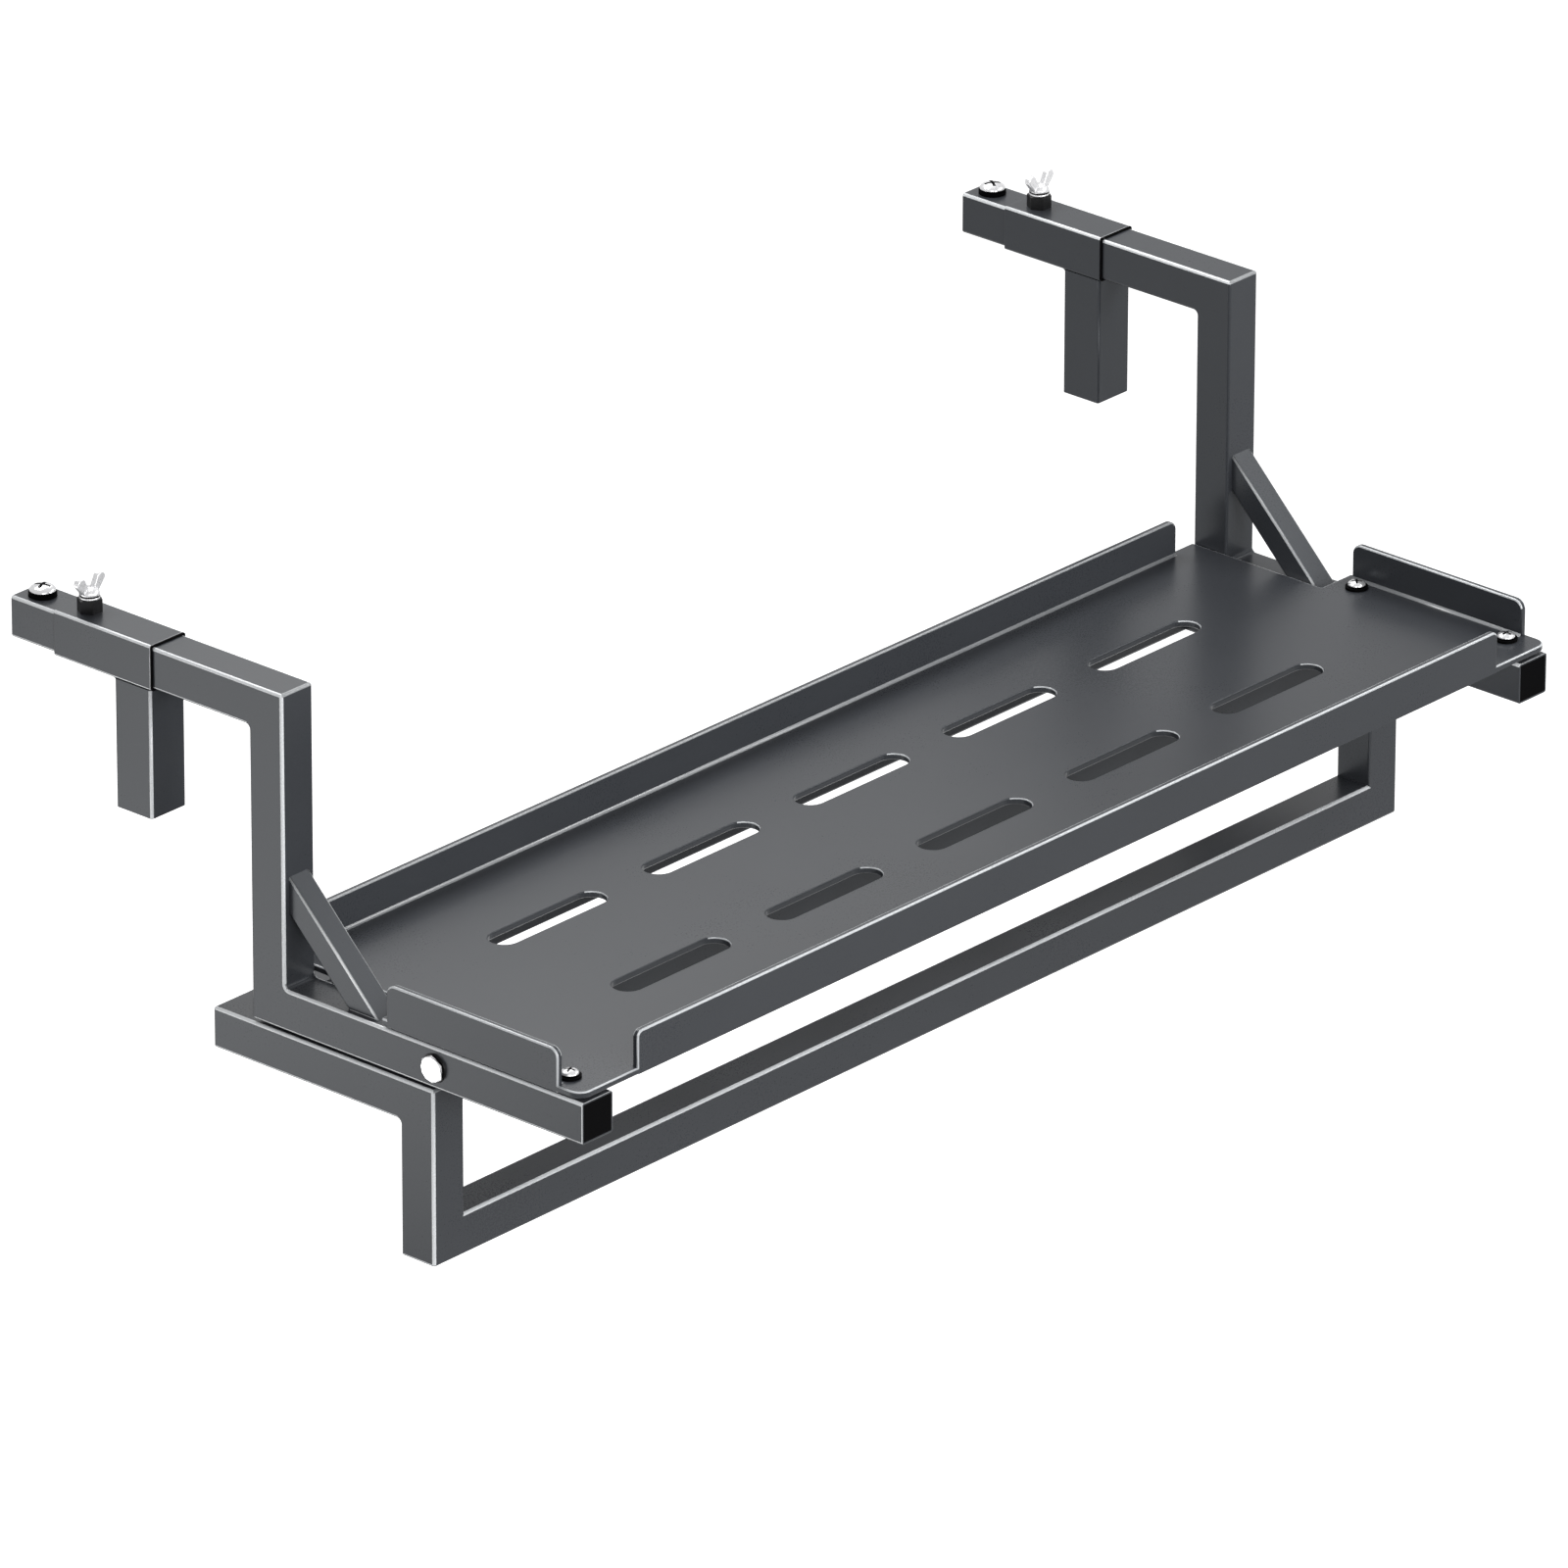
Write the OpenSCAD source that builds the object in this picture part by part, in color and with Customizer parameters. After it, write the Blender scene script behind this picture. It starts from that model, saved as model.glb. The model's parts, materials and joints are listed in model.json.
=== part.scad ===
// Bar table that hangs on a balcony rail: two welded arms, two sliding hooks with
// wing bolts, a lipped tray with drain slots, and a lower frame that bears on the
// balusters. X runs along the rail, +Y points out over the rail and +Z points up.
// The origin is the rail's inner top corner, midway between the arms.

/* [Tubes] */
// Outside width of the square steel tube
tube = 25; // [22:1:30]
// Wall of the square steel tube
tube_wall = 1.2; // [1:0.1:2]
// Inside corner radius of the square tubes
tube_inner_r = 0.4; // [0.3:0.1:1]
// Side of the weld beads in the inner corners
weld_s = 3; // [2:0.5:4]

/* [Arms] */
// Width over the outer faces of the two arms
span_w = 830; // [700:10:1200]
// From the front end of a support tube to the back face of its post
arm_d = 248; // [230:1:320]
// Clear height from a support tube up to the top tube
drop_h = 153; // [120:1:220]
// Reach of a top tube behind the back face of its post
reach = 182; // [175:1:240]
// Outside width of the square brace tube
brace_w = 16; // [12:1:18]
// Height and run of the brace's upper side
brace_rise = 67; // [50:1:75]

/* [Hooks] */
// Clear gap for the rail between a post and a hook leg
rail_gap = 74; // [50:1:76]
// Length of the hook's sliding sleeve
sleeve_l = 74; // [60:1:78]
// Wall of the sleeve and of the hook leg
sleeve_wall = 1; // [0.8:0.1:1.5]
// Gap all round between the sleeve and the top tube
sleeve_clear = 0.2; // [0.1:0.05:0.4]
// Length of the plastic ring on the sleeve's front end
end_ring_l = 1.5; // [1:0.5:3]
// Length of the hook leg below the sleeve
leg_h = 78; // [50:1:100]
// From the sleeve's rear end to the wing bolt
wing_in = 15; // [12:1:25]
// From the rear end of a top tube to its stop screw
stop_inset = 12.5; // [12:0.5:14]

/* [Tray] */
// Thickness of the tray plate
tray_t = 4; // [3:0.5:5]
// Overhang of the tray past the outer face of each arm
tray_over = 1; // [0:0.5:5]
// Overall height of the lips
lip_h = 26; // [18:1:40]
// Gap between the foot of each brace and the tray's full-width front part
brace_gap = 7; // [4:1:12]
// Front and back lips stop this far inside the arms' inner faces
lip_end_in = 20; // [5:1:40]
// From the tray's front face to the front end of a side lip
side_lip_in = 17; // [12:1:25]
// From the rear end of a side lip to the rear edge of the full-width part
side_lip_back = 4; // [3:1:20]
// Radius of the top corners of the side and back lips
lip_corner_r = 6; // [3:0.5:9]
// Radius of the top corners of the front lip
front_lip_r = 4; // [3:0.5:9]
// Radius of the tray's front corners in plan
tray_corner_r = 8; // [3:0.5:10]
// Inside radius where a lip meets the tray
bend_in_r = 1.5; // [1:0.25:2.5]
// Outside radius below a lip
bend_out_r = 2; // [1:0.25:2.5]
// Rounding along the top edges of a lip
lip_edge_r = 1; // [0.5:0.25:1.25]
// Gap between the rear part of the tray and each arm
notch_clear = 1; // [0.5:0.5:3]

/* [Drain slots] */
// Slots in each row
slot_count = 5; // [3:1:5]
// Length of each slot
slot_length = 90; // [60:1:110]
// Width of each slot
slot_width = 18.5; // [10:0.5:24]
// Distance from slot to slot along a row
slot_pitch = 128; // [115:1:130]
// From the tray's front face to the front row
slot_row_in = 78; // [60:1:90]
// Distance between the two rows
slot_row_pitch = 93; // [70:1:110]

/* [Lower frame] */
// Depth of the lower frame from front to back
frame_d = 167; // [155:1:180]
// Height of the lower frame
frame_h = 108; // [70:1:160]
// Reach of the lower frame behind the posts' back faces
frame_reach = 30; // [25:1:32]
// Thickness of the pads between painted pieces
pad_t = 2; // [1:0.5:3]

/* [Fasteners] */
// Thread of the tray screws
tray_screw_d = 6; // [5:1:6]
// From the tray's front face to the front tray screws
tray_screw_in = 20.5; // [15:0.5:26]
// From the rear tray screws to the rear edge of the full-width part
tray_screw_back = 15.5; // [12:0.5:26]
// Thread of the stop screws
stop_screw_d = 8; // [6:1:8]
// Thread of the side bolts that hold the cross tube
side_bolt_d = 10; // [8:1:10]
// From the posts' back faces forward to the side bolts
side_bolt_in = 138; // [135:1:145]
// Thread of the bolts that hold the lower frame
frame_bolt_d = 8; // [6:1:8]
// From the frame's front face to the front frame bolts
frame_bolt_in = 42; // [38:1:48]
// From the posts' back faces forward to the rear frame bolts
frame_bolt_back = 35; // [30:1:45]
// Thread of the wing bolts
wing_bolt_d = 8; // [6:1:8]
// Span of the wings from tip to tip
wing_span = 22; // [20:1:32]
// Height of the wings above the weld nut
wing_h = 13.5; // [10:0.5:16]
// Thickness of the wings
wing_t = 2.6; // [2:0.2:3.5]

/* [Hidden] */
$fn = 48;

// Paint and metal colours
paint = "#55585c";
black = "#17181a";
chrome = "#d9dcdf";
zinc = "#a7abae";
dark_steel = "#2b2d30";

// Overrun of every cut
over = 1;
// Gap around screws in clearance holes
hole_clear = 0.3;
// Gap between a thread and its nut
thread_clear = 0.05;
// Gap between a plug or a rivet nut and the tube that holds it
insert_clear = 0.1;

// Places of the arms
arm_x = span_w / 2 - tube / 2;
arm_inner_x = span_w / 2 - tube;
support_top = -drop_h;
support_bottom = -drop_h - tube;

// Brace wall follows the tube's, and the foot of its lower side follows its upper side
brace_wall = tube_wall;
brace_slant = brace_w * sqrt(2);

// Sleeve and leg are one section
sleeve = tube + 2 * sleeve_clear + 2 * sleeve_wall;
sleeve_bottom = -sleeve_clear - sleeve_wall;
sleeve_top = tube + sleeve_clear + sleeve_wall;
sleeve_rear = rail_gap + sleeve_l;
wing_y = sleeve_rear - wing_in;
stop_y = reach - stop_inset;

// Plug sizes
plug_face_t = 2;
plug_skirt_l = 12;
plug_skirt_wall = 1.5;
plug_fin_t = 1;
plug_fin_h = 0.8;
plug_fins = 3;

// Shares of the thread diameter in the heads, nuts and washers
pan_head_share = 2;
pan_height_share = 0.62;
dome_share = 0.4;
recess_length_share = 1.1;
recess_width_share = 0.18;
recess_depth_share = 0.32;
hex_flats_share = 1.6;
hex_height_share = 0.48;
hex_chamfer_share = 0.08;
nut_height_share = 1;
washer_share = 2.25;
head_washer_share = 2.05;
side_washer_share = 1.75;
washer_height_share = 0.25;
pad_share = 2.2;
rivet_share = 1.38;
rivet_length_share = 1.35;
rivet_crush_share = 1.88;
rivet_crush_h_share = 0.25;
wing_hub_share = 1.3;
wing_hub_top_share = 1;

// Tray places
cheek_d = arm_d - tube - brace_rise - brace_gap;
side_lip_l = cheek_d - side_lip_in - side_lip_back;
tray_w = span_w + 2 * tray_over;
tray_front = -arm_d;
tray_bottom = support_top + pad_t;
tray_top = tray_bottom + tray_t;
tray_rear_w = 2 * (arm_inner_x - notch_clear);
long_lip_l = 2 * (arm_inner_x - lip_end_in);
tray_screw_y = [tray_front + tray_screw_in, tray_front + cheek_d - tray_screw_back];
tray_screw_l = 16;

// Cross tube and its bolts
side_bolt_y = -side_bolt_in;
side_bolt_z = support_top - tube / 2;
end_plate_t = 3;
side_bolt_tip = 3;
side_washer_t = washer_height_share * side_bolt_d;
side_bolt_l = side_washer_t + tube + end_plate_t + nut_height_share * side_bolt_d + side_bolt_tip;

// Lower frame places
frame_front = frame_reach - frame_d;
frame_top = support_bottom - pad_t;
frame_bottom = frame_top - frame_h;
frame_bolt_y = [frame_front + frame_bolt_in, -frame_bolt_back];
frame_washer_t = washer_height_share * frame_bolt_d;
frame_bolt_l = frame_washer_t + tube + pad_t + rivet_length_share * frame_bolt_d;

// Stop screw and wing bolt lengths
stop_washer_t = washer_height_share * stop_screw_d;
stop_screw_l = stop_washer_t + rivet_length_share * stop_screw_d;
weld_nut_h = nut_height_share * wing_bolt_d;
wing_seat = sleeve_top + weld_nut_h;

// Directions in which the long side of a mitre can face, seen along the tube
right_angle = 0;
back_angle = 90;
left_angle = 180;
front_angle = 270;

function tube_outer_r(wall) = tube_inner_r + wall;

module rounded_square(w, r) {
  square([w - 2 * r, w], center = true);
  square([w, w - 2 * r], center = true);
  for (x = [-1, 1], y = [-1, 1])
    translate([x * (w / 2 - r), y * (w / 2 - r)])
      circle(r);
}

module tube_section(w, wall) {
  difference() {
    rounded_square(w, tube_outer_r(wall));
    rounded_square(w - 2 * wall, tube_inner_r);
  }
}

// Takes a 45 degree corner off the start of a run; the long side faces the angle
module mitre(w, facing) {
  edge = w / 2 + over;
  rotate([0, 0, facing])
    rotate([90, 0, 0])
      linear_extrude(w + 2 * over, center = true)
        polygon([[edge, -over], [-edge, w + over], [-edge, -over]]);
}

// Square tube along +Z; a negative angle leaves an end square
module tube_run(l, start = -1, end = -1, w = tube, wall = tube_wall) {
  difference() {
    linear_extrude(l)
      tube_section(w, wall);
    if (start >= 0)
      mitre(w, start);
    if (end >= 0)
      translate([0, 0, l])
        mirror([0, 0, 1])
          mitre(w, end);
  }
}

module along_y() {
  rotate([-90, 0, 0])
    children();
}

module along_x() {
  rotate([0, 90, 0])
    children();
}

// Flat weld bead along X in the corner between +Y and +Z
module weld_bead(w, wall) {
  rotate([90, 0, 90])
    linear_extrude(w - 2 * tube_outer_r(wall), center = true)
      polygon([[0, 0], [weld_s, 0], [0, weld_s]]);
}

// Round hole through one wall, along Z from below z = 0 up past the wall
module wall_hole(r, wall) {
  translate([0, 0, -over])
    cylinder(r = r, h = wall + 2 * over);
}

// Push-in end plug: its face lies at z = 0 and its skirt runs along -Z
module plug(w, wall, skirt_l = plug_skirt_l, fins = plug_fins) {
  bore = w - 2 * wall - 2 * insert_clear;
  skirt = bore - 2 * plug_fin_h;
  difference() {
    union() {
      translate([0, 0, -plug_face_t])
        linear_extrude(plug_face_t)
          rounded_square(bore, tube_inner_r);
      translate([0, 0, -skirt_l])
        linear_extrude(skirt_l)
          rounded_square(skirt, tube_inner_r);
      for (i = [1 : 1 : fins])
        translate([0, 0, -plug_face_t - i * (skirt_l - plug_face_t) / (fins + 1)])
          linear_extrude(plug_fin_t)
            rounded_square(bore, tube_inner_r);
    }
    translate([0, 0, -skirt_l - over])
      linear_extrude(skirt_l + over - plug_face_t)
        rounded_square(skirt - 2 * plug_skirt_wall, tube_inner_r);
  }
}

// Domed cross-recess screw: seat at z = 0, shank along -Z
module pan_screw(d, l) {
  head_r = pan_head_share * d / 2;
  head_h = pan_height_share * d;
  dome_h = dome_share * d;
  dome_r = (head_r * head_r + dome_h * dome_h) / (2 * dome_h);
  recess_l = recess_length_share * d;
  recess_w = recess_width_share * d;
  recess_h = recess_depth_share * d;
  difference() {
    union() {
      intersection() {
        cylinder(r = head_r, h = head_h + over);
        translate([0, 0, head_h - dome_r])
          sphere(dome_r);
      }
      translate([0, 0, -l])
        cylinder(d = d, h = l + head_h / 2);
    }
    for (a = [0, 90])
      rotate([0, 0, a])
        translate([-recess_l / 2, -recess_w / 2, head_h - recess_h])
          cube([recess_l, recess_w, recess_h + over]);
  }
}

// Hexagon with chamfered corners on its top side
module hex_body(d, h) {
  corner_r = hex_flats_share * d / 2 / cos(30);
  chamfer = hex_chamfer_share * d;
  intersection() {
    cylinder(r = corner_r, h = h, $fn = 6);
    union() {
      cylinder(r = corner_r + over, h = h - chamfer);
      translate([0, 0, h - chamfer])
        cylinder(r1 = corner_r, r2 = corner_r - 2 * chamfer, h = chamfer);
    }
  }
}

// Hexagon bolt: seat at z = 0, head along +Z and shank along -Z
module hex_bolt(d, l) {
  hex_body(d, hex_height_share * d);
  translate([0, 0, -l])
    cylinder(d = d, h = l + hex_height_share * d / 2);
}

module hex_nut(d) {
  difference() {
    hex_body(d, nut_height_share * d);
    wall_hole(d / 2 + thread_clear, nut_height_share * d);
  }
}

module ring(outer_d, inner_d, h) {
  difference() {
    cylinder(d = outer_d, h = h);
    translate([0, 0, -over])
      cylinder(d = inner_d, h = h + 2 * over);
  }
}

// Rivet nut set flush in a wall: its face lies at z = 0 and its body runs along -Z
module rivet_nut(d, wall) {
  body_l = rivet_length_share * d;
  hole_r = d / 2 + thread_clear;
  difference() {
    union() {
      translate([0, 0, -body_l])
        cylinder(d = rivet_share * d, h = body_l);
      translate([0, 0, -wall - insert_clear - rivet_crush_h_share * d])
        cylinder(d = rivet_crush_share * d, h = rivet_crush_h_share * d);
    }
    translate([0, 0, -body_l - over])
      cylinder(r = hole_r, h = body_l + 2 * over);
  }
}

function rivet_hole_r(d) = rivet_share * d / 2 + insert_clear;

// Arms
module top_tube(side) {
  color(paint)
    difference() {
      translate([side * arm_x, -tube, tube / 2])
        along_y()
          tube_run(reach + tube, start = front_angle);
      translate([side * arm_x, stop_y, tube - tube_wall])
        wall_hole(rivet_hole_r(stop_screw_d), tube_wall);
    }
}

module post(side) {
  color(paint)
    translate([side * arm_x, 0, 0]) {
      translate([0, -tube / 2, support_bottom])
        tube_run(drop_h + 2 * tube, start = back_angle, end = front_angle);
      mirror([0, 0, 1])
        weld_bead(tube, tube_wall);
      translate([0, -tube, support_top])
        mirror([0, 1, 0])
          weld_bead(tube, tube_wall);
    }
}

module support_tube(side) {
  color(paint)
    difference() {
      translate([side * arm_x, -arm_d, support_top - tube / 2])
        along_y()
          tube_run(arm_d, end = back_angle);
      for (y = tray_screw_y)
        translate([side * arm_x, y, support_top - tube_wall])
          wall_hole(rivet_hole_r(tray_screw_d), tube_wall);
      for (y = frame_bolt_y)
        translate([side * arm_x, y, support_bottom])
          wall_hole(rivet_hole_r(frame_bolt_d), tube_wall);
      translate([side * arm_x - tube / 2, side_bolt_y, side_bolt_z])
        along_x()
          wall_hole(side_bolt_d / 2 + hole_clear, tube);
    }
}

module brace(side) {
  length = brace_rise * sqrt(2) + 2 * brace_slant;
  color(paint)
    intersection() {
      translate([side * arm_x, -tube - brace_rise / 2, support_top + brace_rise / 2])
        rotate([-45, 0, 0])
          translate([0, brace_w / 2, -length / 2])
            linear_extrude(length)
              tube_section(brace_w, brace_wall);
      translate([side * arm_x - brace_w, -tube - 2 * brace_rise, support_top])
        cube([2 * brace_w, 2 * brace_rise, 2 * brace_rise]);
    }
}

// Short plugs without fins, because the stop screws come down just behind them
module top_tube_plugs() {
  room = stop_inset - rivet_crush_share * stop_screw_d / 2 - hole_clear;
  color(black)
    for (side = [-1, 1])
      translate([side * arm_x, reach, tube / 2])
        along_y()
          plug(tube, tube_wall, skirt_l = min(room, plug_skirt_l), fins = 0);
}

module support_tube_plugs() {
  color(black)
    for (side = [-1, 1])
      translate([side * arm_x, -arm_d, support_top - tube / 2])
        rotate([90, 0, 0])
          plug(tube, tube_wall);
}

module stop_screws() {
  color(chrome)
    for (side = [-1, 1])
      translate([side * arm_x, stop_y, tube + stop_washer_t])
        pan_screw(stop_screw_d, stop_screw_l);
}

module stop_washers() {
  color(black)
    for (side = [-1, 1])
      translate([side * arm_x, stop_y, tube])
        ring(head_washer_share * stop_screw_d, stop_screw_d + 2 * hole_clear, stop_washer_t);
}

module stop_rivet_nuts() {
  color(zinc)
    for (side = [-1, 1])
      translate([side * arm_x, stop_y, tube])
        rivet_nut(stop_screw_d, tube_wall);
}

// Cross tube between the arms, under the tray
module cross_tube() {
  l = 2 * (arm_inner_x - end_plate_t);
  color(paint)
    translate([-l / 2, side_bolt_y, side_bolt_z])
      along_x()
        tube_run(l);
}

module cross_tube_end_plates() {
  color(paint)
    for (side = [-1, 1])
      translate([side * arm_inner_x, side_bolt_y, side_bolt_z])
        rotate([0, -90 * side, 0])
          difference() {
            linear_extrude(end_plate_t)
              rounded_square(tube, tube_outer_r(tube_wall));
            wall_hole(side_bolt_d / 2 + hole_clear, end_plate_t);
          }
}

module cross_tube_nuts() {
  color(zinc)
    for (side = [-1, 1])
      translate([side * (arm_inner_x - end_plate_t), side_bolt_y, side_bolt_z])
        rotate([0, -90 * side, 0])
          hex_nut(side_bolt_d);
}

module side_bolts() {
  color(chrome)
    for (side = [-1, 1])
      translate([side * (span_w / 2 + side_washer_t), side_bolt_y, side_bolt_z])
        rotate([0, 90 * side, 0])
          hex_bolt(side_bolt_d, side_bolt_l);
}

module side_washers() {
  color(black)
    for (side = [-1, 1])
      translate([side * span_w / 2, side_bolt_y, side_bolt_z])
        rotate([0, 90 * side, 0])
          ring(side_washer_share * side_bolt_d, side_bolt_d + 2 * hole_clear, side_washer_t);
}

// Tray outline in plan, from its front face back to the posts' back faces
module tray_outline() {
  difference() {
    union() {
      translate([-tray_w / 2, tray_front + tray_corner_r])
        square([tray_w, cheek_d - tray_corner_r]);
      translate([-tray_w / 2 + tray_corner_r, tray_front])
        square([tray_w - 2 * tray_corner_r, cheek_d]);
      for (side = [-1, 1])
        translate([side * (tray_w / 2 - tray_corner_r), tray_front + tray_corner_r])
          circle(tray_corner_r);
      translate([-tray_rear_w / 2, tray_front + cheek_d / 2])
        square([tray_rear_w, arm_d - cheek_d / 2]);
    }
    for (row = [0, 1], i = [0 : slot_count - 1])
      translate([(i - (slot_count - 1) / 2) * slot_pitch, tray_front + slot_row_in + row * slot_row_pitch])
        slot();
    for (side = [-1, 1], y = tray_screw_y)
      translate([side * arm_x, y])
        circle(tray_screw_d / 2 + hole_clear);
  }
}

module slot() {
  straight = slot_length - slot_width;
  square([straight, slot_width], center = true);
  for (end = [-1, 1])
    translate([end * straight / 2, 0])
      circle(slot_width / 2);
}

// Upright part of a lip, seen from inside the tray, with rounded top corners
module lip_face(l, r) {
  square([l, lip_h - r]);
  translate([r, 0])
    square([l - 2 * r, lip_h]);
  for (x = [r, l - r])
    translate([x, lip_h - r])
      circle(r);
}

// Section of a lip: outer face at u = 0, inside of the tray at +u
module lip_section() {
  translate([bend_out_r, 0])
    square([tray_t - bend_out_r, lip_h - lip_edge_r]);
  translate([0, bend_out_r])
    square([tray_t, lip_h - lip_edge_r - bend_out_r]);
  translate([bend_out_r, bend_out_r])
    circle(bend_out_r);
  translate([lip_edge_r, lip_h - 2 * lip_edge_r])
    square([tray_t - 2 * lip_edge_r, 2 * lip_edge_r]);
  for (u = [lip_edge_r, tray_t - lip_edge_r])
    translate([u, lip_h - lip_edge_r])
      circle(lip_edge_r);
  difference() {
    square([tray_t + bend_in_r, tray_t + bend_in_r]);
    square([bend_out_r, bend_out_r]);
    translate([tray_t + bend_in_r, tray_t + bend_in_r])
      circle(bend_in_r);
  }
}

// Lip along +X from x = 0, outer face at y = 0, tray towards +Y
module lip(l, r) {
  intersection() {
    rotate([90, 0, 90])
      linear_extrude(l)
        lip_section();
    rotate([90, 0, 0])
      translate([0, 0, -tray_t - bend_in_r - over])
        linear_extrude(tray_t + bend_in_r + 2 * over)
          lip_face(l, r);
  }
}

// Strip that a lip replaces along the tray's edge
module lip_seat(l) {
  translate([0, -over, -over])
    cube([l, tray_t + over, tray_t + 2 * over]);
}

// Places of the front, back and side lips, in that order
module at_lips() {
  translate([-long_lip_l / 2, tray_front, 0])
    children(0);
  translate([long_lip_l / 2, 0, 0])
    rotate([0, 0, 180])
      children(1);
  translate([-tray_w / 2, tray_front + side_lip_in + side_lip_l, 0])
    rotate([0, 0, -90])
      children(2);
  translate([tray_w / 2, tray_front + side_lip_in, 0])
    rotate([0, 0, 90])
      children(2);
}

module tray() {
  color(paint)
    translate([0, 0, tray_bottom]) {
      difference() {
        linear_extrude(tray_t)
          tray_outline();
        at_lips() {
          lip_seat(long_lip_l);
          lip_seat(long_lip_l);
          lip_seat(side_lip_l);
        }
      }
      at_lips() {
        lip(long_lip_l, front_lip_r);
        lip(long_lip_l, lip_corner_r);
        lip(side_lip_l, lip_corner_r);
      }
    }
}

module at_tray_screws() {
  for (side = [-1, 1], y = tray_screw_y)
    translate([side * arm_x, y, 0])
      children();
}

module tray_screws() {
  washer_t = washer_height_share * tray_screw_d;
  color(chrome)
    at_tray_screws()
      translate([0, 0, tray_top + washer_t])
        pan_screw(tray_screw_d, washer_t + tray_screw_l);
}

module tray_washers() {
  color(dark_steel)
    at_tray_screws()
      translate([0, 0, tray_top])
        ring(washer_share * tray_screw_d, tray_screw_d + 2 * hole_clear, washer_height_share * tray_screw_d);
}

module tray_pads() {
  color(black)
    at_tray_screws()
      translate([0, 0, support_top])
        ring(pad_share * tray_screw_d, tray_screw_d + 2 * hole_clear, pad_t);
}

module tray_rivet_nuts() {
  color(zinc)
    at_tray_screws()
      translate([0, 0, support_top])
        rivet_nut(tray_screw_d, tube_wall);
}

// Lower frame
module frame_side_tube(side) {
  color(paint)
    difference() {
      translate([side * arm_x, frame_front, frame_top - tube / 2])
        along_y()
          tube_run(frame_d, start = front_angle, end = side > 0 ? right_angle : left_angle);
      for (y = frame_bolt_y)
        translate([side * arm_x, y, frame_top - tube])
          wall_hole(frame_bolt_d / 2 + hole_clear, tube);
    }
}

module frame_drop(side) {
  color(paint)
    translate([side * arm_x, frame_front, 0]) {
      translate([0, tube / 2, frame_bottom])
        tube_run(frame_h, start = side > 0 ? right_angle : left_angle, end = front_angle);
      translate([0, tube, frame_top - tube])
        mirror([0, 0, 1])
          weld_bead(tube, tube_wall);
    }
}

module frame_rear_tube() {
  color(paint)
    translate([-span_w / 2, frame_reach - tube / 2, frame_top - tube / 2])
      along_x()
        tube_run(span_w, start = back_angle, end = back_angle);
}

module frame_bottom_tube() {
  color(paint)
    translate([-span_w / 2, frame_front + tube / 2, frame_bottom + tube / 2])
      along_x()
        tube_run(span_w, start = right_angle, end = right_angle);
}

module at_frame_bolts() {
  for (side = [-1, 1], y = frame_bolt_y)
    translate([side * arm_x, y, 0])
      children();
}

module frame_bolts() {
  color(zinc)
    at_frame_bolts()
      translate([0, 0, frame_top - tube - frame_washer_t])
        rotate([180, 0, 0])
          hex_bolt(frame_bolt_d, frame_bolt_l);
}

module frame_washers() {
  color(zinc)
    at_frame_bolts()
      translate([0, 0, frame_top - tube - frame_washer_t])
        ring(washer_share * frame_bolt_d, frame_bolt_d + 2 * hole_clear, frame_washer_t);
}

module frame_pads() {
  color(black)
    at_frame_bolts()
      translate([0, 0, frame_top])
        ring(pad_share * frame_bolt_d, frame_bolt_d + 2 * hole_clear, pad_t);
}

module frame_rivet_nuts() {
  color(zinc)
    at_frame_bolts()
      translate([0, 0, support_bottom])
        rotate([180, 0, 0])
          rivet_nut(frame_bolt_d, tube_wall);
}

// Sliding hooks
module hook_sleeve(side) {
  color(paint)
    difference() {
      translate([side * arm_x, rail_gap, tube / 2])
        along_y()
          tube_run(sleeve_l, w = sleeve, wall = sleeve_wall);
      translate([side * arm_x, wing_y, sleeve_top - sleeve_wall])
        wall_hole(wing_bolt_d / 2 + hole_clear, sleeve_wall);
    }
}

// Black ring that covers the front end of a sleeve
module sleeve_ring(side) {
  color(black)
    translate([side * arm_x, rail_gap - end_ring_l, tube / 2])
      along_y()
        tube_run(end_ring_l, w = sleeve, wall = sleeve_wall);
}

module hook_leg(side) {
  color(paint)
    translate([side * arm_x, rail_gap, 0]) {
      translate([0, sleeve / 2, sleeve_bottom - leg_h])
        tube_run(leg_h, w = sleeve, wall = sleeve_wall);
      translate([0, sleeve, sleeve_bottom])
        mirror([0, 0, 1])
          weld_bead(sleeve, sleeve_wall);
    }
}

module leg_plug(side) {
  color(black)
    translate([side * arm_x, rail_gap + sleeve / 2, sleeve_bottom - leg_h])
      rotate([180, 0, 0])
        plug(sleeve, sleeve_wall);
}

module weld_nut(side) {
  color(dark_steel)
    translate([side * arm_x, wing_y, sleeve_top])
      hex_nut(wing_bolt_d);
}

// One wing in the plane of X and Z, leaning outwards
module wing() {
  tip_r = wing_span / 8;
  tip_x = wing_span / 2 - tip_r;
  tip_z = wing_h - tip_r;
  root_r = wing_bolt_d / 2;
  polygon([
    [0, 0],
    [root_r, 0],
    [tip_x + tip_r, tip_z],
    [tip_x - tip_r, tip_z],
    [0, wing_h / 3]
  ]);
  translate([tip_x, tip_z])
    circle(tip_r);
}

module wing_bolt(side) {
  hub_r = wing_hub_share * wing_bolt_d / 2;
  hub_top_r = wing_hub_top_share * wing_bolt_d / 2;
  color(chrome)
    translate([side * arm_x, wing_y, wing_seat + thread_clear]) {
      cylinder(r1 = hub_r, r2 = hub_top_r, h = wing_h / 3);
      translate([0, 0, tube + sleeve_clear - wing_seat - thread_clear])
        cylinder(d = wing_bolt_d, h = wing_seat - tube);
      for (a = [0, 180])
        rotate([0, 0, a])
          rotate([90, 0, 0])
            linear_extrude(wing_t, center = true)
              wing();
    }
}

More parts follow.
